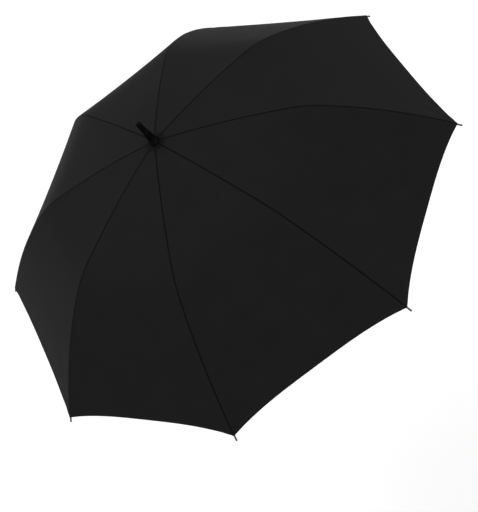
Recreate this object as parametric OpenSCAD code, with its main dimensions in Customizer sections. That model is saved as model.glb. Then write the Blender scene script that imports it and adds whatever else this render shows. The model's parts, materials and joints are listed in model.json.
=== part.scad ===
// Golf umbrella: a long straight-handled stick umbrella, drawn open.
// Millimetres. Z runs up the shaft from the grip to the ferrule; the origin is the middle of the grip.
// Ribs stand at 22.5 + 45 k degrees about Z. Each rib is three rods joined at flex points, so that
// it can straighten as the umbrella closes.

/* [Shaft and handle] */
// Outer radius of the shaft tube
shaft_r = 7; // [6:0.5:8]
// Wall of the shaft tube
shaft_wall = 1.2; // [0.8:0.1:1.6]
// Length of the grip
grip_len = 115; // [100:5:140]
// Radius of the grip
grip_r = 13.4; // [12:0.2:16]
// Radius of the flared end of the grip
flare_r = 16.2; // [14:0.2:19]

/* [Crown and ferrule] */
// Height of the rib pivots above the middle of the grip
crown_z = 808; // [780:1:840]
// Radius of the ring of pivots in the crown and in the runner
pivot_ring_r = 11.5; // [10.5:0.1:13]
// Length of the ferrule above the canopy
ferrule_len = 81; // [60:1:100]
// Radius of the ferrule's collar
collar_r = 13.6; // [12:0.2:16]

/* [Ribs and stretchers] */
// Lengths of the inner, middle and outer rods of a rib
rib_len = [350, 195, 193];
// How far each rod bows outwards
rib_bow = [10.7, 6, 3.4];
// Direction of each rod in the open umbrella, in degrees from straight down
rib_lean = [78, 53.5, 42.7];
// Radius of each rod
rib_r = [1.7, 1.6, 1.5];
// Distance along the inner rod of the stretcher's joint
joint_t = 330; // [300:1:340]
// Depth of the stretcher's pivot under the rod
joint_drop = 5; // [4.6:0.1:7]
// Radius of a stretcher rod
stretcher_r = 1.7; // [1.4:0.1:2.2]

/* [Runner] */
// Length of the runner below its pivots
runner_len = 58; // [45:1:70]
// Outer radius of the runner's sleeve
sleeve_r = 10.5; // [10.3:0.1:11]

/* [Canopy] */
// Thickness of the cloth panels
cloth_t = 0.6; // [0.4:0.1:1]
// Height of the cloth above the middle of the rib rods
cloth_rise = 3; // [2.8:0.1:4]
// Dip of a panel between two ribs at the hem
panel_dip = 3; // [0:1:20]
// Share of the rib that the scalloped hem leaves bare between two ribs
hem_scallop = 0.025; // [0:0.005:0.1]

/* [Hidden] */

rib_count = 8;
rib_step = 360 / rib_count;
eps = 0.01;
gap = 0.4;            // around every piece that turns or slides
touch = 0.05;         // around pieces that are glued or pressed on
eye_r = 2.35;         // end eyes of ribs and stretchers
eye_t = 2.2;
eye_hole_r = 1.2;
wire_r = 0.8;         // ring wires through the eyes
slot_w = eye_t + 2 * gap;
slot_r = pivot_ring_r - eye_r - gap;
hub_r = 14.5;
neck_len = 8;
pin_r = 0.7;          // pins of the stretcher joints
lug_t = 2;
cheek_t = 1.2;
flex_gap = 0.2;       // each side of a flex point
nose_len = 2.3;       // how far a catch stands out of the shaft
nose_h = 6;
lip_h = 1.5;          // inner lip of the runner that the catches hold

$fn = 48;

// Points in a rib's plane are [radius, height]. A lean is measured from straight down.
function along(a) = [sin(a), -cos(a)];
function across(a) = [cos(a), sin(a)];
function bow_at(i, t) = 4 * rib_bow[i] * (t / rib_len[i]) * (1 - t / rib_len[i]);
function rod_point(i, t) = rod_start[i] + t * along(rib_lean[i]) + bow_at(i, t) * across(rib_lean[i]);
rod_start_0 = [pivot_ring_r, crown_z];
rod_start_1 = rod_start_0 + rib_len[0] * along(rib_lean[0]);
rod_start_2 = rod_start_1 + rib_len[1] * along(rib_lean[1]);
rod_start = [rod_start_0, rod_start_1, rod_start_2];

joint = [joint_t, bow_at(0, joint_t) - joint_drop];   // in the inner rod's own plane
joint_point = rod_start_0 + joint[0] * along(rib_lean[0]) + joint[1] * across(rib_lean[0]);
stretcher_len = norm(joint_point - rod_start_0);
open_lean = atan2(joint_point[0] - rod_start_0[0], rod_start_0[1] - joint_point[1]);
runner_z = crown_z - 2 * stretcher_len * cos(open_lean);
closed_lean = 0.9;
closed_runner_z = crown_z - 2 * stretcher_len * cos(closed_lean);

shaft_bottom = -grip_len / 2 + 10;
shaft_top = crown_z + 46;
hub_top = crown_z + 3.2;
cloth_z = hub_top + 0.25 + cloth_t / 2;
collar_z = cloth_z + cloth_t / 2 + 0.15;
top_ledge = runner_z - runner_len - gap;
bottom_ledge = closed_runner_z - runner_len + lip_h + gap;

// Places children at point p of rib k's plane, with X along the given lean and Z across the plane.
module in_rib_plane(k, p, lean)
    rotate([0, 0, (k - 0.5) * rib_step]) translate([p[0], 0, p[1]])
        rotate([0, 90 - lean, 0]) rotate([90, 0, 0]) children();

// A bowed rod over a chord of length len, from t0 to t1 along the chord.
module bowed_rod(len, bow, r, t0, t1) {
    bend_r = (len * len / 4 + bow * bow) / (2 * bow);
    a0 = asin((t0 - len / 2) / bend_r);
    a1 = asin((t1 - len / 2) / bend_r);
    translate([len / 2, bow - bend_r, 0]) rotate([0, 0, 90 - a1])
        rotate_extrude(angle = a1 - a0) translate([bend_r, 0]) circle(r, $fn = 24);
}

module eye_with_neck(neck, half_height) {
    cylinder(r = eye_r, h = eye_t, center = true);
    translate([0, -half_height, -eye_t / 2]) cube([neck, 2 * half_height, eye_t]);
}

module eye_hole() cylinder(r = eye_hole_r, h = 2 * eye_t, center = true);

// Radial slots that the eyes swing in
module eye_slots(z0, z1)
    for (k = [1:rib_count])
        rotate([0, 0, (k - 0.5) * rib_step])
            translate([slot_r, -slot_w / 2, z0]) cube([hub_r, slot_w, z1 - z0]);

module ring_wire(z)
    translate([0, 0, z]) rotate_extrude() translate([pivot_ring_r, 0]) circle(wire_r, $fn = 24);

// ---- on the shaft ----

module shaft()
    color("#2b2b2e") difference() {
        translate([0, 0, shaft_bottom]) cylinder(r = shaft_r, h = shaft_top - shaft_bottom);
        translate([0, 0, shaft_bottom - 1])
            cylinder(r = shaft_r - shaft_wall, h = shaft_top - shaft_bottom + 2);
        catch_window(top_ledge, -1);
        catch_window(bottom_ledge, 1);
    }

module catch_window(ledge, side)
    translate([0, -1.4 - gap, side < 0 ? ledge - 12 - gap : ledge - 4 - gap])
        cube([2 * shaft_r, 2.8 + 2 * gap, 16 + 2 * gap]);

// A sprung catch: a plate inside the tube with a wedge nose. The wedge tapers away on one side.
module catch(ledge, side)
    translate([0, 1.4, ledge]) rotate([90, 0, 0]) linear_extrude(height = 2.8)
        polygon([[2.5, -4 * side], [shaft_r - 0.1, -4 * side], [shaft_r - 0.1, 0],
                 [shaft_r - 0.1 + nose_len, 0], [shaft_r - 0.1 + nose_len, side],
                 [shaft_r - 0.1, nose_h * side], [shaft_r - 0.1, 12 * side], [2.5, 12 * side]]);

module top_catch() color("#9a9a9e") catch(top_ledge, -1);

module bottom_catch() color("#9a9a9e") catch(bottom_ledge, 1);

module crown_hub()
    color("#232325") difference() {
        translate([0, 0, crown_z - 5]) cylinder(r = hub_r, h = hub_top - crown_z + 5);
        translate([0, 0, crown_z - 6]) cylinder(r = shaft_r + touch, h = 20);
        eye_slots(crown_z - 6, hub_top + 1);
        translate([0, 0, crown_z - wire_r - 0.1]) rotate_extrude()
            translate([pivot_ring_r - wire_r - 0.1, 0]) square([2 * wire_r + 0.2, 10]);
    }

module crown_wire() color("#8c8c90") ring_wire(crown_z);

module ferrule() {
    top = collar_z + ferrule_len;
    color("#1d1d20") difference() {
        rotate_extrude()
            polygon([[0, collar_z], [collar_r, collar_z], [collar_r, collar_z + 2.6],
                     [collar_r - 0.9, collar_z + 4], [10.8, collar_z + 6.2], [9.4, collar_z + 9.5],
                     [8.8, collar_z + 14], [8.5, collar_z + 20], [8.4, shaft_top + 2],
                     [6.9, shaft_top + 5.5], [6.4, top - 3], [5.9, top - 1.2], [4.6, top], [0, top]]);
        translate([0, 0, collar_z - 1]) cylinder(r = shaft_r + touch, h = shaft_top - collar_z + 1.1);
    }
}

module handle()
    color("#202023") difference() {
        rotate_extrude()
            polygon([[0, -grip_len / 2], [flare_r - 1.6, -grip_len / 2], [flare_r - 0.5, -grip_len / 2 + 0.6],
                     [flare_r, -grip_len / 2 + 2], [flare_r, -grip_len / 2 + 7],
                     [flare_r - 0.9, -grip_len / 2 + 10], [grip_r + 0.6, -grip_len / 2 + 15],
                     [grip_r, -grip_len / 2 + 22], [grip_r, grip_len / 2 - 2.5],
                     [grip_r - 0.7, grip_len / 2 - 0.7], [grip_r - 2.2, grip_len / 2], [0, grip_len / 2]]);
        translate([0, 0, shaft_bottom]) cylinder(r = shaft_r + touch, h = grip_len);
        translate([0, 0, -grip_len / 2 - 1]) cylinder(r = 11.5, h = 4);
    }

module handle_cap()
    color("#2c2c30") translate([0, 0, -grip_len / 2]) cylinder(r = 11.5 - touch, h = 3);

module tie_strap()
    color("#141416") cloth_sheet([for (i = [0:4]) strap_s + (i / 4 - 0.5) * strap_w],
                                 [for (j = [0:8]) 0.012 + j / 8 * 0.43],
                                 7, cloth_t + 0.4, 0.7, false);

// ---- runner ----

module runner()
    color("#232325") difference() {
        union() {
            translate([0, 0, runner_z - 3.2]) cylinder(r = hub_r, h = 8.2);
            translate([0, 0, runner_z - runner_len]) cylinder(r = sleeve_r, h = runner_len);
            translate([0, 0, runner_z - runner_len]) cylinder(r = 13.2, h = 4);
            translate([0, 0, runner_z - runner_len + 4]) cylinder(r1 = 13.2, r2 = sleeve_r, h = 3);
        }
        translate([0, 0, runner_z - runner_len - 1]) cylinder(r = shaft_r + 0.35, h = runner_len + 20);
        translate([0, 0, runner_z]) difference() {
            eye_slots(-3.3, 6);
            translate([0, 0, -8]) cylinder(r = slot_r + 0.8, h = 4.8);
        }
        translate([0, 0, runner_z - 4]) rotate_extrude()
            translate([pivot_ring_r - wire_r - 0.1, 0]) square([2 * wire_r + 0.2, 4 + wire_r + 0.1]);
        translate([0, -2, runner_z - runner_len + lip_h]) cube([shaft_r + nose_len + gap, 4, runner_len + 20]);
    }

module runner_wire() color("#8c8c90") ring_wire(runner_z);

// ---- ribs and stretchers ----

module rib_inner(k)
    color("#3a3a3e") in_rib_plane(k, rod_start_0, rib_lean[0]) difference() {
        union() {
            eye_with_neck(neck_len, 1.7);
            bowed_rod(rib_len[0], rib_bow[0], rib_r[0], neck_len - 1, rib_len[0] - flex_gap);
            bowed_rod(rib_len[0], rib_bow[0], rib_r[0] + 0.4, joint_t - 12, joint_t + 12);
            translate([joint[0], joint[1], 0]) cylinder(r = 2.5, h = lug_t, center = true);
            translate([joint[0] - 2.5, joint[1], -lug_t / 2]) cube([5, joint_drop - 1, lug_t]);
        }
        eye_hole();
        translate([joint[0], joint[1], 0]) cylinder(r = pin_r + 0.3, h = 3 * lug_t, center = true);
    }

module rib_mid(k)
    color("#3a3a3e") in_rib_plane(k, rod_start_1, rib_lean[1])
        bowed_rod(rib_len[1], rib_bow[1], rib_r[1], flex_gap, rib_len[1] - flex_gap);

module rib_outer(k)
    color("#3a3a3e") in_rib_plane(k, rod_start_2, rib_lean[2])
        bowed_rod(rib_len[2], rib_bow[2], rib_r[2], flex_gap, rib_len[2] - 12);

// The cap on a rib's end, with the ball that keeps the cloth's corner on it. The rod droops to 4 degrees below its chord there.
module rib_tip(k)
    color("#0e0e10") in_rib_plane(k, rod_point(2, rib_len[2]), rib_lean[2] - 4)
        rotate([0, 90, 0]) difference() {
            union() {
                translate([0, 0, -22]) cylinder(r = 2.2, h = 19.4);
                translate([0, 0, -2.6]) sphere(2.5);
            }
            translate([0, 0, -23]) cylinder(r = rib_r[2] + 0.3, h = 11.5);
        }

module stretcher(k)
    color("#3a3a3e") in_rib_plane(k, joint_point, -open_lean) difference() {
        union() {
            for (s = [-1, 1]) translate([0, 0, s * (lug_t / 2 + 0.3 + cheek_t / 2)]) {
                cylinder(r = 2.4, h = cheek_t, center = true);
                translate([0, -2, -cheek_t / 2]) cube([16, 4, cheek_t]);
            }
            translate([9, -2, -lug_t / 2 - 0.4]) cube([7, 4, lug_t + 0.8]);
            cylinder(r = pin_r, h = lug_t + 0.6 + 2 * cheek_t, center = true);
            translate([14, 0, 0]) rotate([0, 90, 0])
                cylinder(r = stretcher_r, h = stretcher_len - 14 - neck_len + 1);
            translate([stretcher_len, 0, 0]) rotate([0, 0, 180]) eye_with_neck(neck_len, 1.7);
        }
        translate([stretcher_len, 0, 0]) eye_hole();
    }

// ---- cloth ----

// The line of the cloth over a rib: flat over the crown, then a fixed height above the rods.
rod_samples = [for (i = [0:2], t = [i == 0 ? 48 : 0 : rib_len[i] / 8 : rib_len[i] - 1]) rod_point(i, t)];
rod_line = concat(rod_samples, [rod_point(2, rib_len[2])]);
function slope_dir(line, i) = let (a = line[max(i - 1, 0)], b = line[min(i + 1, len(line) - 1)])
    (b - a) / norm(b - a);
function raised(line, h) = [for (i = [0:len(line) - 1]) let (d = slope_dir(line, i))
    line[i] + h * [-d[1], d[0]]];
cloth_line = concat([[shaft_r + 0.6, cloth_z], [hub_r + 1, cloth_z - 0.1]], raised(rod_line, cloth_rise));
function run_to(line, i) = i == 0 ? 0 : run_to(line, i - 1) + norm(line[i] - line[i - 1]);
cloth_runs = [for (i = [0:len(cloth_line) - 1]) run_to(cloth_line, i)];
cloth_len = cloth_runs[len(cloth_runs) - 1];
radius_by_run = [for (i = [0:len(cloth_line) - 1]) [cloth_runs[i], cloth_line[i][0]]];
height_by_run = [for (i = [0:len(cloth_line) - 1]) [cloth_runs[i], cloth_line[i][1]]];
strap_w = 24;
strap_s = cloth_len - 215;

function slope_at(s) = let (a = max(s - 4, 0), b = min(s + 4, cloth_len))
    atan2(lookup(a, height_by_run) - lookup(b, height_by_run),
          lookup(b, radius_by_run) - lookup(a, radius_by_run));
function dip_at(s, w) = 4 * w * (1 - w) * panel_dip * pow(lookup(s, radius_by_run) / cloth_line[len(cloth_line) - 1][0], 1.5);

// A point of panel k: s along the rib, w from 0 at rib k to 1 at rib k + 1, up outwards from the cloth's middle
function panel_point(k, s, w, up) =
    let (a0 = (k - 0.5) * rib_step, a1 = a0 + rib_step, r = lookup(s, radius_by_run),
         x = r * (cos(a0) * (1 - w) + cos(a1) * w), y = r * (sin(a0) * (1 - w) + sin(a1) * w),
         f = slope_at(s), a = atan2(y, x), lift = up - dip_at(s, w))
    [x + lift * sin(f) * cos(a), y + lift * sin(f) * sin(a), lookup(s, height_by_run) + lift * cos(f)];

function hem_share(w) = 0.98 * (1 - hem_scallop * (1 - pow(abs(2 * w - 1), 3.3)));

// A closed thin sheet over panel k
module cloth_sheet(runs, widths, k, up, thick, scalloped) {
    n = len(runs);
    m = len(widths);
    points = [for (side = [0, 1], i = [0:n - 1], j = [0:m - 1])
        panel_point(k, runs[i] * (scalloped ? hem_share(widths[j]) : 1), widths[j],
                    up + (side - 0.5) * thick)];
    function at(side, i, j) = side * n * m + i * m + j;
    polyhedron(points, concat(
        [for (i = [0:n - 2], j = [0:m - 2]) each [
            [at(1, i, j), at(1, i, j + 1), at(1, i + 1, j)],
            [at(1, i, j + 1), at(1, i + 1, j + 1), at(1, i + 1, j)],
            [at(0, i, j), at(0, i + 1, j), at(0, i, j + 1)],
            [at(0, i, j + 1), at(0, i + 1, j), at(0, i + 1, j + 1)]]],
        [for (i = [0:n - 2]) each [
            [at(0, i, 0), at(1, i, 0), at(1, i + 1, 0)], [at(0, i, 0), at(1, i + 1, 0), at(0, i + 1, 0)],
            [at(0, i, m - 1), at(1, i + 1, m - 1), at(1, i, m - 1)],
            [at(0, i, m - 1), at(0, i + 1, m - 1), at(1, i + 1, m - 1)]]],
        [for (j = [0:m - 2]) each [
            [at(0, 0, j), at(0, 0, j + 1), at(1, 0, j + 1)], [at(0, 0, j), at(1, 0, j + 1), at(1, 0, j)],
            [at(0, n - 1, j), at(1, n - 1, j + 1), at(0, n - 1, j + 1)],
            [at(0, n - 1, j), at(1, n - 1, j), at(1, n - 1, j + 1)]]]));
}

module gore(k)
    color("#1a1a1d") cloth_sheet(cloth_runs, [for (j = [0:10]) 0.0004 + 0.9992 * j / 10],
                                 k, 0, cloth_t, true);

shaft();
crown_hub();
crown_wire();
ferrule();
handle();
handle_cap();
top_catch();
bottom_catch();
runner();
runner_wire();
tie_strap();
rib_inner(1);  // rib_inner_1
rib_inner(2);  // rib_inner_2
rib_inner(3);  // rib_inner_3
rib_inner(4);  // rib_inner_4
rib_inner(5);  // rib_inner_5
rib_inner(6);  // rib_inner_6
rib_inner(7);  // rib_inner_7
rib_inner(8);  // rib_inner_8
rib_mid(1);  // rib_mid_1
rib_mid(2);  // rib_mid_2
rib_mid(3);  // rib_mid_3
rib_mid(4);  // rib_mid_4
rib_mid(5);  // rib_mid_5
rib_mid(6);  // rib_mid_6
rib_mid(7);  // rib_mid_7
rib_mid(8);  // rib_mid_8
rib_outer(1);  // rib_outer_1
rib_outer(2);  // rib_outer_2
rib_outer(3);  // rib_outer_3
rib_outer(4);  // rib_outer_4
rib_outer(5);  // rib_outer_5
rib_outer(6);  // rib_outer_6
rib_outer(7);  // rib_outer_7
rib_outer(8);  // rib_outer_8
rib_tip(1);  // rib_tip_1
rib_tip(2);  // rib_tip_2
rib_tip(3);  // rib_tip_3
rib_tip(4);  // rib_tip_4
rib_tip(5);  // rib_tip_5
rib_tip(6);  // rib_tip_6
rib_tip(7);  // rib_tip_7
rib_tip(8);  // rib_tip_8
stretcher(1);  // stretcher_1
stretcher(2);  // stretcher_2
stretcher(3);  // stretcher_3
stretcher(4);  // stretcher_4
stretcher(5);  // stretcher_5
stretcher(6);  // stretcher_6
stretcher(7);  // stretcher_7
stretcher(8);  // stretcher_8
gore(1);  // gore_1
gore(2);  // gore_2
gore(3);  // gore_3
gore(4);  // gore_4
gore(5);  // gore_5
gore(6);  // gore_6
gore(7);  // gore_7
gore(8);  // gore_8
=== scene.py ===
import json
import math

import bpy
import numpy as np
from mathutils import Matrix, Vector


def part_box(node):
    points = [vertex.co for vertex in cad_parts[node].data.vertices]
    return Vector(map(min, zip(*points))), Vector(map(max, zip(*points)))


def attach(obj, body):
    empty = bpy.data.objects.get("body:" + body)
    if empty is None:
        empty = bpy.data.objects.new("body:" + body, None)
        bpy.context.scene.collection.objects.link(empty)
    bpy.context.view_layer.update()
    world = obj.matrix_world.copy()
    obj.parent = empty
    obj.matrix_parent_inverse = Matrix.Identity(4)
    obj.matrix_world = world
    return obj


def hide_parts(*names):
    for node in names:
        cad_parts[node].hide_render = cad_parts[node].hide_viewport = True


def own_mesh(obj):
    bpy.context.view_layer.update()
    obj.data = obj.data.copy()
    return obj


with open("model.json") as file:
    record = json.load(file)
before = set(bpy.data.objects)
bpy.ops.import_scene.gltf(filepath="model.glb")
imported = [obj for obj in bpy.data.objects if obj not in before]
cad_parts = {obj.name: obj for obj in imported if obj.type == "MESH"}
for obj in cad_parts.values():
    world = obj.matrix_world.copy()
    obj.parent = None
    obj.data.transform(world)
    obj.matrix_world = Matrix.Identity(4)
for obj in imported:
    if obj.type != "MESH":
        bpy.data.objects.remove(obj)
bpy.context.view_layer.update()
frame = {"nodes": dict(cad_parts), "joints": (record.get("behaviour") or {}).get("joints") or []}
nodes = frame["nodes"]
joints = {j["name"]: j for j in frame["joints"]}
crown_top = Vector((0, 0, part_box("crown_hub")[1][2]))

# Camera: above and to one side of the open canopy, rolled so that the shaft leans to the left.
camera_azimuth, camera_from_axis, camera_roll = (math.radians(a) for a in (145.1, 43.1, 44.7))
camera_distance = 3.38
towards = Vector((
    math.sin(camera_from_axis) * math.cos(camera_azimuth),
    math.sin(camera_from_axis) * math.sin(camera_azimuth),
    math.cos(camera_from_axis),
))
level = Vector((-math.sin(camera_azimuth), math.cos(camera_azimuth), 0))
rising = towards.cross(level)
view_right = level * math.cos(camera_roll) - rising * math.sin(camera_roll)
view_up = level * math.sin(camera_roll) + rising * math.cos(camera_roll)
camera = bpy.data.objects.new("camera", bpy.data.cameras.new("camera"))
bpy.context.scene.collection.objects.link(camera)
bpy.context.scene.camera = camera
camera.data.sensor_fit = "VERTICAL"
camera.data.sensor_height = 32
camera.data.lens = 90.1
camera.data.clip_end = 60
# The crown stands up and to the left of the middle of the view.
aim = crown_top + view_right * 0.197 - view_up * 0.268
camera.matrix_world = Matrix.Translation(aim + towards * camera_distance) @ (
    Matrix((view_right, view_up, towards)).transposed().to_4x4()
)

# Light: a white tent of a world, with one broad lamp from the upper left and a weaker one opposite.
scene = bpy.context.scene
scene.view_settings.view_transform = "Standard"
world = bpy.data.worlds.new("tent")
scene.world = world
world.use_nodes = True
world.node_tree.nodes["Background"].inputs["Color"].default_value = (1, 1, 1, 1)
world.node_tree.nodes["Background"].inputs["Strength"].default_value = 1.0
for name, place, power, size in (
    ("broad_lamp", towards * 1.2 - view_right * 2.4 + view_up * 2.0, 55, 2.6),
    ("fill_lamp", towards * 2.2 + view_right * 2.2 - view_up * 0.6, 22, 2.2),
):
    lamp = bpy.data.objects.new(name, bpy.data.lights.new(name, "AREA"))
    scene.collection.objects.link(lamp)
    lamp.data.energy = power
    lamp.data.size = size
    place = place + crown_top
    lamp.matrix_world = Matrix.Translation(place) @ (
        (crown_top - place).to_track_quat("-Z", "Y").to_matrix().to_4x4()
    )


# Shader sockets that can be added and multiplied, so that a finish reads as a sum.
class Tap:
    def __init__(self, tree, socket):
        self.tree, self.socket = tree, socket

    def node(self, kind, settings=None, sockets=None, out=0):
        made = self.tree.nodes.new(kind)
        for key, value in (settings or {}).items():
            setattr(made, key, value)
        for key, value in (sockets or {}).items():
            if isinstance(value, Tap):
                self.tree.links.new(value.socket, made.inputs[key])
            else:
                made.inputs[key].default_value = value
        return Tap(self.tree, made.outputs[out])

    def math(self, operation, a, b=0.0):
        return self.node("ShaderNodeMath", {"operation": operation}, {0: a, 1: b})

    def __add__(self, other):
        return self.math("ADD", self, other)

    def __radd__(self, other):
        return self.math("ADD", other, self)

    def __sub__(self, other):
        return self.math("SUBTRACT", self, other)

    def __rsub__(self, other):
        return self.math("SUBTRACT", other, self)

    def __mul__(self, other):
        return self.math("MULTIPLY", self, other)

    def __rmul__(self, other):
        return self.math("MULTIPLY", other, self)

    def noise(self, scale, detail=3.0, stretch=(1, 1, 1)):
        spot = self.node("ShaderNodeTexCoord", out="Object")
        spot = self.node("ShaderNodeMapping", None, {"Vector": spot, "Scale": stretch})
        return self.node("ShaderNodeTexNoise", None, {"Vector": spot, "Scale": scale, "Detail": detail}, "Fac")

    def mix(self, share, a, b):
        return self.node("ShaderNodeMix", {"data_type": "RGBA"}, {0: share, 6: a, 7: b}, 2)

    def bump(self, height, strength, distance, normal=None):
        sockets = {"Height": height, "Strength": strength, "Distance": distance}
        if normal:
            sockets["Normal"] = normal
        return self.node("ShaderNodeBump", None, sockets, "Normal")


def finish_of(name, **fixed):
    made = bpy.data.materials.new(name)
    made.use_nodes = True
    shader = made.node_tree.nodes["Principled BSDF"]
    for key, value in fixed.items():
        shader.inputs[key.replace("_", " ")].default_value = value
    return made, Tap(made.node_tree, None), shader


def feed(tap, shader, **links):
    for key, value in links.items():
        tap.tree.links.new(value.socket, shader.inputs[key.replace("_", " ")])


def shade(value, tint=1.0):
    return (value, value, value * tint, 1)


def paint(names, finish):
    for name in names:
        for slot in nodes[name].material_slots:
            slot.material = finish


# Shaft: a straight drawn steel tube, 14 mm across, stove-enamelled black. The crown hub is pressed
# on near its top, and two windows are cut in it for the spring catches.
enamel, tap, shader = finish_of("black_enamel", Coat_Weight=0.25, Coat_Roughness=0.2)
grime = tap.noise(38, 4)
feed(tap, shader,
     Base_Color=tap.mix(grime, shade(0.008, 1.05), shade(0.017, 1.05)),
     Roughness=0.26 + grime * 0.16,
     Normal=tap.bump(tap.noise(900, 2), 0.05, 0.0002))
paint(["shaft"], enamel)

# Crown hub and runner: glass-filled nylon mouldings with eight slots each, in which the eyes of the
# ribs and of the stretchers swing. They come out of the mould with a fine spark-eroded grain.
nylon, tap, shader = finish_of("moulded_nylon", Specular_IOR_Level=0.42)
grain = tap.noise(1500, 2)
feed(tap, shader,
     Base_Color=tap.mix(tap.noise(60, 4), shade(0.010, 1.04), shade(0.020, 1.04)),
     Roughness=0.42 + grain * 0.18,
     Normal=tap.bump(grain, 0.22, 0.0002))
paint(["crown_hub", "runner"], nylon)

# Ring wires and catches: plated spring steel. A ring of wire threads all eight eyes, and each catch
# is a folded leaf that springs out of its window.
steel, tap, shader = finish_of("plated_spring_steel", Metallic=0.9)
scuff = tap.noise(220, 5, (1, 1, 0.15))
feed(tap, shader,
     Base_Color=tap.mix(scuff, shade(0.30, 1.02), shade(0.48, 1.02)),
     Roughness=0.24 + scuff * 0.22)
paint(["crown_wire", "runner_wire", "top_catch", "bottom_catch"], steel)

# Ribs and stretchers: pultruded black fibreglass rods with moulded ends. The glass shows as faint
# streaks under a resin skin.
fibreglass, tap, shader = finish_of("black_fibreglass", Coat_Weight=0.3, Coat_Roughness=0.25)
streak = tap.noise(140, 5, (1, 1, 0.4))
feed(tap, shader,
     Base_Color=tap.mix(streak, shade(0.007, 1.05), shade(0.022, 1.05)),
     Roughness=0.3 + streak * 0.2,
     Normal=tap.bump(streak, 0.1, 0.0002))
paint([f"{part}_{k}" for part in ("rib_inner", "rib_mid", "rib_outer", "stretcher")
       for k in range(1, 9)], fibreglass)

# Rib tips: gloss moulded caps pushed over the rod ends, each with a ball that keeps the corner of
# the cloth from slipping off.
cap_gloss, tap, shader = finish_of("gloss_cap", Specular_IOR_Level=0.5)
feed(tap, shader,
     Base_Color=tap.mix(tap.noise(300, 3), shade(0.008), shade(0.016)),
     Roughness=0.2 + tap.noise(420, 3) * 0.15)
paint([f"rib_tip_{k}" for k in range(1, 9)], cap_gloss)


def deselect():
    if bpy.context.mode != "OBJECT":
        bpy.ops.object.mode_set(mode="OBJECT")
    bpy.ops.object.select_all(action="DESELECT")


# Turned and moulded round parts start as a disc, which is drawn upwards ring by ring.
def turned(name, rings, segments=96):
    deselect()
    radius, height = rings[0]
    bpy.ops.mesh.primitive_circle_add(vertices=segments, radius=radius, fill_type="NGON", location=(0, 0, height))
    made = bpy.context.object
    made.name = made.data.name = name
    bpy.ops.object.transform_apply(location=True, rotation=True, scale=True)
    bpy.ops.object.mode_set(mode="EDIT")
    bpy.ops.mesh.select_all(action="SELECT")
    for new_radius, new_height in rings[1:]:
        bpy.ops.mesh.extrude_region_move(TRANSFORM_OT_translate={"value": (0, 0, new_height - height)})
        ratio = new_radius / radius
        bpy.ops.transform.resize(value=(ratio, ratio, 1), center_override=(0, 0, new_height))
        radius, height = new_radius, new_height
    bpy.ops.mesh.select_all(action="SELECT")
    bpy.ops.mesh.normals_make_consistent(inside=False)
    bpy.ops.object.mode_set(mode="OBJECT")
    bpy.ops.object.shade_smooth_by_angle(angle=math.radians(32))
    return made


# Ferrule: one long black moulding pushed over the shaft's end. Its collar clamps the middle of the
# canopy on the crown hub, and it steps down to a slim blunt point.
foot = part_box("ferrule")[0][2]
ferrule = turned("ferrule_moulding", [(r / 1000, foot + h / 1000) for r, h in (
    (13.1, 0), (13.5, 0.25), (13.6, 0.7), (13.6, 2.8), (13.45, 3.6), (13.1, 4.8), (12.5, 6.6), (11.75, 8.8),
    (11.0, 11.4), (10.3, 14.4), (9.75, 17.6), (9.3, 21), (8.95, 25), (8.7, 30), (8.5, 36), (8.25, 39.4),
    (7.9, 41.6), (7.5, 43.4), (7.15, 45.2), (6.95, 47.4), (6.8, 52), (6.65, 60), (6.55, 68), (6.5, 76.8),
    (6.35, 78.2), (6.0, 79.4), (5.4, 80.3), (4.4, 80.9), (1.0, 81.05))])
satin_black, tap, shader = finish_of("satin_black_moulding", Specular_IOR_Level=0.05)
mould = tap.noise(420, 4)
feed(tap, shader,
     Base_Color=tap.mix(tap.noise(45, 5), shade(0.0008), shade(0.0017)),
     Roughness=0.36 + mould * 0.16,
     Normal=tap.bump(mould, 0.12, 0.0003))
ferrule.data.materials.append(satin_black)
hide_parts("ferrule")
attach(ferrule, "shaft_assembly")

# Grip: a straight sleeve of dense rubber-like foam over a core, 27 mm across, that flares at its
# lower end so that the hand can't slide off.
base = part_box("handle")[0][2]
grip = turned("grip_sleeve", [(r / 1000, base + h / 1000) for r, h in (
    (11.5, 0.2), (14.4, 0), (15.1, 0.25), (15.7, 0.8), (16.05, 1.6), (16.2, 2.6), (16.2, 7.0), (16.05, 8.4),
    (15.6, 10), (14.9, 12), (14.25, 14.4), (13.8, 17.2), (13.5, 20.4), (13.4, 24), (13.38, 40), (13.3, 60),
    (13.35, 80), (13.4, 100), (13.4, 111.6), (13.25, 112.9), (12.9, 113.9), (12.3, 114.6), (11.4, 115),
    (7.2, 115))])
foam, tap, shader = finish_of("dense_foam", Specular_IOR_Level=0.3, Sheen_Weight=0.12, Sheen_Roughness=0.5)
pores = tap.noise(2600, 3)
feed(tap, shader,
     Base_Color=tap.mix(tap.noise(70, 5), shade(0.011, 1.08), shade(0.019, 1.08)),
     Roughness=0.62 + pores * 0.2,
     Normal=tap.bump(pores, 0.35, 0.0002, tap.bump(tap.noise(120, 3), 0.1, 0.0006)))
grip.data.materials.append(foam)
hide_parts("handle")
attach(grip, "shaft_assembly")

# Grip cap: a moulded disc of the ferrule's plastic, glued into the flared end. It is dished in the
# middle, with one turned groove round it.
cap = turned("grip_cap", [(r / 1000, base + h / 1000) for r, h in (
    (5.6, 0.45), (6.0, 0.25), (8.3, 0.2), (8.6, 0.5), (9.0, 0.5), (9.3, 0.2), (10.8, 0.2), (11.2, 0.35),
    (11.42, 0.8), (11.42, 3.0), (2, 3.0))], 72)
cap.data.materials.append(satin_black)
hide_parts("handle_cap")
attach(cap, "shaft_assembly")

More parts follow.
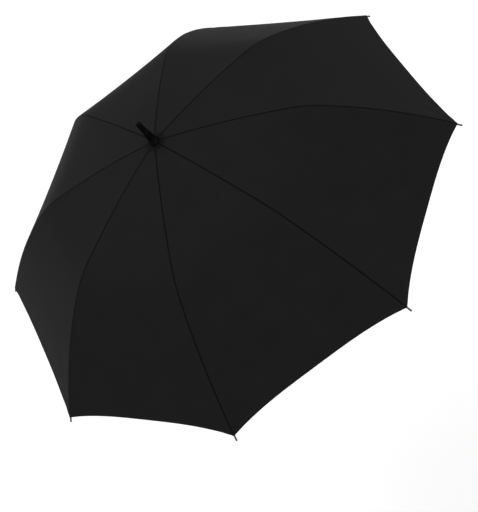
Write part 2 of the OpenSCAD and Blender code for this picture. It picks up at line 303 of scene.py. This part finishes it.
# Canopy: eight panels of black pongee, sewn together along the ribs, with their corners on the rib
# tips. The cloth lies flat on the crown hub, follows the ribs 3 mm above the rods and is drawn tight
# between them, down to a scalloped hem. Lengths here are in millimetres.
rod_len, rod_bow, rod_lean = (350, 195, 193), (10.7, 6.0, 3.4), (78, 53.5, 42.7)
ring_radius = 11.5
crown_height = 808.0
cloth_rise, panel_dip, middle_dip = 3.0, 1.6, 3.2
hem_scallop, hem_power, corner_gap = 0.0235, 3.37, 14
half_sine = math.sin(math.pi / 8)
hub_points = 14  # the start of the inner rod, which the hub's flat top covers
rods = []
start = np.array((ring_radius, crown_height))
for length, bow, lean in zip(rod_len, rod_bow, rod_lean):
    lean = math.radians(lean)
    run, rise = np.array((math.sin(lean), -math.cos(lean))), np.array((math.cos(lean), math.sin(lean)))
    t = np.linspace(0, 1, 100)[:, None]
    rods.append(start + t * length * run + 4 * bow * t * (1 - t) * rise)
    start = start + length * run
rod_line = np.concatenate([rods[0][hub_points:], rods[1][1:], rods[2][1:]])
heading = np.gradient(rod_line, axis=0)
heading /= np.linalg.norm(heading, axis=1)[:, None]
raised = rod_line + cloth_rise * np.stack([-heading[:, 1], heading[:, 0]], 1)
hub_level = crown_top.z * 1000 + 0.55
cloth_line = np.concatenate([[(12.4, hub_level), (15.5, hub_level - 0.1)], raised])
reach = np.concatenate([[0], np.cumsum(np.linalg.norm(np.diff(cloth_line, axis=0), axis=1))])
even = np.linspace(0, reach[-1], 1500)
smooth_line = np.stack([np.interp(even, reach, cloth_line[:, i]) for i in (0, 1)], 1)
half_window = 160
window = np.hanning(2 * half_window + 1)
window /= window.sum()
extended = np.concatenate([2 * smooth_line[0] - smooth_line[half_window:0:-1], smooth_line,
                           2 * smooth_line[-1] - smooth_line[-2:-half_window - 2:-1]])
smooth_line = np.stack([np.convolve(extended[:, i], window, "valid") for i in (0, 1)], 1)
full_run = reach[-1]
slope = np.arctan2(-np.gradient(smooth_line[:, 1]), np.gradient(smooth_line[:, 0]))
# The smoothing cuts the corner where the inner rod meets the middle one, and this lifts it clear again.
bend = reach[len(rods[0]) - hub_points + 1]
bend_lift, bend_spread = 2.6, 75
smooth_line += (bend_lift * np.exp(-(((even - bend) / bend_spread) ** 2)))[:, None] * np.stack(
    [np.sin(slope), np.cos(slope)], 1)
flex_runs = []
for name in ("rib_1_flex_a", "rib_1_flex_b"):
    x, y, z = (v * 1000 for v in joints[name]["pos_m"])
    flex_runs.append(even[np.hypot(smooth_line[:, 0] - math.hypot(x, y), smooth_line[:, 1] - z).argmin()])


def hem_run(w):
    # The corners stop 14 mm short of the rod's end, halfway down the cap on it.
    return (full_run - corner_gap) * (1 - hem_scallop * (1 - np.abs(2 * w - 1) ** hem_power))


tip_folds, tip_fold_height, tip_fold_reach = 11, 0.9, 95
seam_groove, groove_half, groove_end = 0.8, 1.1, 36


def cloth_point(k, s, w, up):
    """A point of the panel between ribs k and k + 1, in metres.

    s runs along the rib, w from 0 to 1 across the panel, and up from the middle of the cloth.
    """
    r, z, f = (np.interp(s, even, c) for c in (smooth_line[:, 0], smooth_line[:, 1], slope))
    a0, a1 = math.radians((k - 0.5) * 45), math.radians((k + 0.5) * 45)
    x = r * (math.cos(a0) * (1 - w) + math.cos(a1) * w)
    y = r * (math.sin(a0) * (1 - w) + math.sin(a1) * w)
    across = 2 * r * half_sine * np.minimum(w, 1 - w)
    tip_reach = np.hypot(across, full_run - s)
    fan = np.sin(tip_folds * np.arctan2(across, full_run - s + 1e-6)) * np.exp(-tip_reach / tip_fold_reach)
    fan *= 1 - np.exp(-tip_reach / 14)
    calm = np.cos(math.pi * np.minimum(w, 1 - w)) ** 2 * np.sin(np.minimum(across / 30, 1) * math.pi / 2)
    tight = 1 + 0.12 * math.sin(k * 2.4)
    hollow = panel_dip * (r / smooth_line[-1, 0]) ** 1.5
    hollow = hollow + middle_dip * np.sin(math.pi * np.clip(s / full_run, 0, 1)) ** 2
    lift = up - 4 * w * (1 - w) * hollow * tight
    # The seam's groove fades out before the cap, which the corner of the cloth lies over.
    groove = seam_groove * np.clip((full_run - groove_end - s) / 25, 0, 1) * np.exp(-((across / groove_half) ** 2))
    lift = lift + tip_fold_height * fan * calm - groove
    a = np.arctan2(y, x)
    outwards = lift * np.sin(f)
    return np.stack([x + outwards * np.cos(a), y + outwards * np.sin(a), z + lift * np.cos(f)], -1) / 1000


def cloth_sheet(name, k, runs, widths, lower, upper, hem=None):
    """A closed sheet over panel k. runs and widths are grids, and lower and upper are its heights on them."""
    n, m = runs.shape
    points = np.concatenate([cloth_point(k, runs, widths, h).reshape(-1, 3) for h in (lower, upper)])
    at = np.arange(2 * n * m).reshape(2, n, m)
    quads = []

    def strip(a, b, c, d):
        quads.append(np.stack([a.ravel(), b.ravel(), c.ravel(), d.ravel()], 1))

    strip(at[1, :-1, :-1], at[1, 1:, :-1], at[1, 1:, 1:], at[1, :-1, 1:])
    strip(at[0, :-1, :-1], at[0, :-1, 1:], at[0, 1:, 1:], at[0, 1:, :-1])
    for j, flip in ((0, True), (m - 1, False)):
        a, b, c, d = at[0, :-1, j], at[0, 1:, j], at[1, 1:, j], at[1, :-1, j]
        strip(*((a, b, c, d) if flip else (d, c, b, a)))
    for i, flip in ((0, False), (n - 1, True)):
        a, b, c, d = at[0, i, :-1], at[0, i, 1:], at[1, i, 1:], at[1, i, :-1]
        strip(*((a, b, c, d) if flip else (d, c, b, a)))
    quads = np.concatenate(quads)
    if widths[0, 0] > widths[0, -1]:
        quads = quads[:, ::-1]
    mesh = bpy.data.meshes.new(name)
    mesh.from_pydata(points.tolist(), [], quads.tolist())
    r = np.interp(runs, even, smooth_line[:, 0])
    seam = 2 * r * half_sine * np.minimum(widths, 1 - widths) / 1000
    edge = (hem_run(widths) - runs) / 1000 if hem is None else hem
    for label, values in (("from_seam", seam), ("along_rib", runs / 1000), ("from_hem", edge)):
        mesh.attributes.new(label, "FLOAT", "POINT").data.foreach_set(
            "value", np.tile(values.ravel(), 2).astype(np.float32))
    made = bpy.data.objects.new(name, mesh)
    scene.collection.objects.link(made)
    deselect()
    made.select_set(True)
    bpy.context.view_layer.objects.active = made
    bpy.ops.object.mode_set(mode="EDIT")
    bpy.ops.mesh.select_all(action="SELECT")
    bpy.ops.mesh.normals_make_consistent(inside=False)
    bpy.ops.object.mode_set(mode="OBJECT")
    bpy.ops.object.shade_smooth_by_angle(angle=math.radians(50))
    return made


# Pongee: a fine plain weave of polyester, dyed black, with a low sheen. The seams pucker a little
# where the thread draws the cloth, and the hem is turned once and stitched 7 mm in. Shade is painted
# into its colour along the seams and the hem, and where the seams are tied down. Lengths in the
# cloth's finish are in metres, but for the two places along a rib where it is tied down.
tie_runs = (312, 602)
weave_pitch, stitch_pitch, pucker_pitch = 0.0007, 0.0032, 0.0105
seam_stitch, hem_stitch, thread_half = 0.0021, 0.0068, 0.0005
seam_shadow, hem_shadow = 0.0036, 0.0034
# Size of the painted shade marks on the seams where the ties draw the cloth down.
tie_shade_length, tie_shade_half = 0.012, 0.0046
pongee, tap, shader = finish_of("black_pongee", Specular_IOR_Level=0.02, Sheen_Weight=0.004, Sheen_Roughness=0.4)
across, along, hem_in = (tap.node("ShaderNodeAttribute", {"attribute_name": name}, out="Fac")
                         for name in ("from_seam", "along_rib", "from_hem"))


def wave(tap, value, pitch):
    return tap.math("SINE", value * (2 * math.pi / pitch))


def band(tap, value, middle, half):
    return tap.math("MAXIMUM", 1 - tap.math("ABSOLUTE", value - middle) * (1 / half), 0.0)


def dashes(tap, value):
    return tap.math("GREATER_THAN", wave(tap, value, stitch_pitch), -0.35)


weave = wave(tap, across, weave_pitch) * wave(tap, along, weave_pitch)
stitch = band(tap, across, seam_stitch, thread_half) * dashes(tap, along)
stitch = stitch + band(tap, hem_in, hem_stitch, thread_half) * dashes(tap, across)
pucker = wave(tap, along, pucker_pitch) * band(tap, across, 0.002, 0.010)
pucker = pucker + wave(tap, across, pucker_pitch) * band(tap, hem_in, 0.004, 0.011)
# Painted shade: the colour is darkened along each seam and just inside the hem, and noise varies how dark the seam
# shade is.
painted_shade_noise = tap.noise(60, 3)
shadow = tap.math("MINIMUM", band(tap, across, 0.0, seam_shadow) * (painted_shade_noise * 0.8 + 0.75), 1.0)
shadow = tap.math("MAXIMUM", shadow, band(tap, hem_in, 0.0, hem_shadow) * 0.75)
# Painted shade: a short darker mark on each seam where a tie draws the cloth down.
for place in tie_runs:
    tie_shade = band(tap, along, place / 1000, tie_shade_length) * band(tap, across, 0.0, tie_shade_half) * 1.6
    shadow = tap.math("MAXIMUM", shadow, tap.math("MINIMUM", tie_shade * (painted_shade_noise + 0.4), 0.7))
tone = tap.noise(16, 5)
cloud = tap.noise(4.5, 2)
cloth_colour = tap.mix(shadow, tap.mix(tone, shade(0.0070, 1.06), shade(0.0098, 1.06)), shade(0.0016, 1.05))
feed(tap, shader,
     Base_Color=tap.mix(stitch * 0.7, cloth_colour, shade(0.020, 1.05)),
     Roughness=0.6 + tone * 0.14,
     Normal=tap.bump(weave, 0.3, 0.0002, tap.bump(
         stitch * 0.5 + pucker * 0.35 + cloud * 1.6, 0.35, 0.0012)))

# Each half panel follows its rib in six bands: a name, its rod, the rod's lean, where the band
# starts and ends along the rib, and the share of its width that it keeps when the umbrella is shut.
bands = (
    ("crown", "rib_inner", rod_lean[0], 0.0, 60, 0.44),
    ("neck", "rib_inner", rod_lean[0], 60, 125, 0.34),
    ("upper", "rib_inner", rod_lean[0], 125, 220, 0.23),
    ("shoulder", "rib_inner", rod_lean[0], 220, flex_runs[0], 0.16),
    ("middle", "rib_mid", rod_lean[1], flex_runs[0], flex_runs[1], 0.11),
    ("hem", "rib_outer", rod_lean[2], flex_runs[1], None, 0.075),
)
side_names = {1: "left", -1: "right"}


def panel_beside(rib, side):
    return rib if side > 0 else (rib - 2) % 8 + 1


def fold_with_rib(piece, rib, lean):
    """Gives the piece a mesh of its own.
    """
    lean, turn = math.radians(lean), math.radians((rib - 0.5) * 45)
    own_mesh(piece)


# Across a half panel the points stand close together by the seam, where the groove needs them.
half_widths = np.concatenate([np.array((0, 0.5, 1.0, 1.6, 2.3, 3.2, 4.5, 6.5, 9, 13, 18)) / 300,
                              np.linspace(0.08, 0.5, 18)])
turned_in = np.array((10.5, 9.0, 8.0, 7.4, 6.8, 6.2, 5.2, 3.5, 1.8, 0.7, 0.0))
hem_margin, row_pitch, half_cloth = 13, 6, 0.2
for k in range(1, 9):
    for side in (1, -1):
        panel = panel_beside(k, side)
        w = half_widths if side > 0 else 1 - half_widths
        for level, part, lean, low, high, keep in bands:
            rows = np.linspace(0, 1, max(int(((high or full_run) - low) / row_pitch), 2) + 1)
            ends = hem_run(w) if high is None else np.full(len(w), high)
            runs = low + rows[:, None] * ((ends - (hem_margin if high is None else 0)) - low)[None, :]
            if high is None:
                runs = np.concatenate([runs, ends[None, :] - turned_in[:, None]])
            widths = np.broadcast_to(w, runs.shape)
            lower, upper = np.full(runs.shape, -half_cloth), np.full(runs.shape, half_cloth)
            if high is None:
                # The hem is doubled underneath, drawn in by its thread, and rounded at the rim.
                inside = hem_run(widths) - runs
                doubled = np.clip((9.2 - inside) / 1.2, 0, 1)
                thread = np.exp(-(((inside - 6.8) / 0.5) ** 2))
                lower = lower - 0.35 * doubled + 0.15 * thread
                upper = upper + 0.15 * doubled - 0.15 * thread
                rim = np.exp(-inside / 0.5)
                lower, upper = lower + 0.3 * rim, upper - 0.15 * rim
            name = f"panel_{panel}_{level}_{side_names[side]}"
            piece = cloth_sheet(name, panel, runs, widths, lower, upper)
            piece.data.materials.append(pongee)
            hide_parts(f"gore_{panel}")
            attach(piece, f"{part}_{k}")
            tall = (high or full_run) - low
            round(tall / 1000, 4)
            fold_with_rib(piece, k, lean)

# Crown patch: a small disc of the same cloth over the middle of the canopy, where the eight points
# of the panels meet under the ferrule's collar. It keeps water out of the seams. Its edge is pinked.
patch_reach, pinking, patch_keep = 15.2, 0.5, 0.6
for k in range(1, 9):
    for side in (1, -1):
        panel = panel_beside(k, side)
        w = np.linspace(0, 0.5, 10) if side > 0 else 1 - np.linspace(0, 0.5, 10)
        wave_edge = patch_reach + pinking * np.cos(2 * math.pi * np.arange(10) / 3)
        runs = 0.2 + np.linspace(0, 1, 10)[:, None] * wave_edge[None, :]
        widths = np.broadcast_to(w, runs.shape)
        lower, upper = np.full(runs.shape, 0.35), np.full(runs.shape, 0.75)
        # The fixed distance from the hem puts the whole patch into the cloth's painted hem shade, so it is painted
        # darker than the panels, as shade under the ferrule's collar.
        piece = cloth_sheet(f"crown_patch_{k}_{side_names[side]}", panel, runs, widths,
                            lower, upper, np.full(runs.shape, 0.0011))
        piece.data.materials.append(pongee)
        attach(piece, f"rib_inner_{k}")
        turn = math.radians((k - 0.5) * 45)
        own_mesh(piece)

# Tie strap: a folded band of the canopy's cloth, sewn to a seam, that is wrapped round the closed
# umbrella. It lies flat on its panel while the umbrella is open.
strap_middle, strap_fold, strap_keep = full_run - 215, full_run - 290, 0.11
strap_half, tape_half = 12, 9.5
runs = np.broadcast_to(strap_middle + np.linspace(-strap_half, strap_half, 9)[:, None], (9, 40)).copy()
strap_w = np.linspace(0.012, 0.442, 40)
widths = np.broadcast_to(strap_w, runs.shape)
edge = strap_half - np.abs(runs - strap_middle)
thick = np.where(edge > 1.5, 0.35, 0.22)
strap = cloth_sheet("tie_strap_band", 7, runs, widths, 0.95 - thick, 0.95 + thick, edge / 1000 + 0.0045)
strap.data.materials.append(pongee)
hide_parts("tie_strap")
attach(strap, "rib_mid_7")
fold_with_rib(strap, 7, rod_lean[1])

# Hook-and-loop tape: a short black patch sewn to the strap's free end, which holds the wrapped strap
# shut. It stands proud of the strap, with a fine rough pile.
runs = np.broadcast_to(strap_middle + np.linspace(-tape_half, tape_half, 9)[:, None], (9, 12)).copy()
widths = np.broadcast_to(np.linspace(0.372, 0.433, 12), runs.shape)
edge = tape_half - np.abs(runs - strap_middle)
tape = cloth_sheet("tie_strap_tape", 7, runs, widths, np.full(runs.shape, 1.36),
                   np.where(edge > 1, 2.35, 1.75), edge / 1000 + 0.004)
pile, tap, shader = finish_of("hook_and_loop_tape", Specular_IOR_Level=0.1, Sheen_Weight=0.05)
hooks = tap.noise(1800, 2)
feed(tap, shader,
     Base_Color=tap.mix(hooks, shade(0.003), shade(0.014)),
     Roughness=0.7 + hooks * 0.2,
     Normal=tap.bump(hooks, 0.8, 0.0006))
tape.data.materials.append(pile)
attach(tape, "rib_mid_7")
fold_with_rib(tape, 7, rod_lean[1])

# Ties: loops of doubled black thread, two to a rib, which hold the seams down on the rods. Each is
# sewn through the seam and passed round the rod.
tie_radius, thread_radius, tie_width = 0.00238, 0.0005, 4.5
thread, tap, shader = finish_of("waxed_thread", Specular_IOR_Level=0.04)
twist = tap.noise(900, 2, (1, 1, 3))
feed(tap, shader,
     Base_Color=tap.mix(twist, shade(0.0012), shade(0.0036)),
     Roughness=0.6 + twist * 0.2,
     Normal=tap.bump(twist, 0.5, 0.0003))
for k in range(1, 9):
    for part, place in zip(("rib_inner", "rib_outer"), tie_runs):
        r, z, dr, dz = (float(np.interp(place, reach[2:], c)) for c in (*rod_line.T, *heading.T))
        turn = math.radians((k - 0.5) * 45)
        lie = Vector((dr * math.cos(turn), dr * math.sin(turn), dz)).to_track_quat("Z", "Y").to_euler()
        deselect()
        bpy.ops.mesh.primitive_torus_add(
            location=(r * math.cos(turn) / 1000, r * math.sin(turn) / 1000, z / 1000), rotation=lie,
            major_segments=28, minor_segments=10, major_radius=tie_radius, minor_radius=thread_radius)
        tie = bpy.context.object
        tie.name = tie.data.name = f"tie_{k}_{part}"
        bpy.ops.object.mode_set(mode="EDIT")
        bpy.ops.mesh.select_all(action="SELECT")
        bpy.ops.transform.resize(value=(1, 1, tie_width), orient_type="LOCAL", center_override=tie.location)
        bpy.ops.object.mode_set(mode="OBJECT")
        bpy.ops.object.transform_apply(location=True, rotation=True, scale=True)
        bpy.ops.object.shade_smooth_by_angle(angle=math.radians(60))
        tie.data.materials.append(thread)
        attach(tie, f"{part}_{k}")

# Floor: plain and pale, well below the umbrella, which is taken to be held up by its grip.
deselect()
bpy.ops.mesh.primitive_plane_add(size=60, location=(0, 0, -1.1))
floor = bpy.context.object
floor.name = "floor"
floor_white, tap, shader = finish_of("pale_floor", Roughness=0.9, Specular_IOR_Level=0.1)
feed(tap, shader, Base_Color=tap.mix(tap.noise(0.8, 2), shade(0.93), shade(0.95)))
floor.data.materials.append(floor_white)
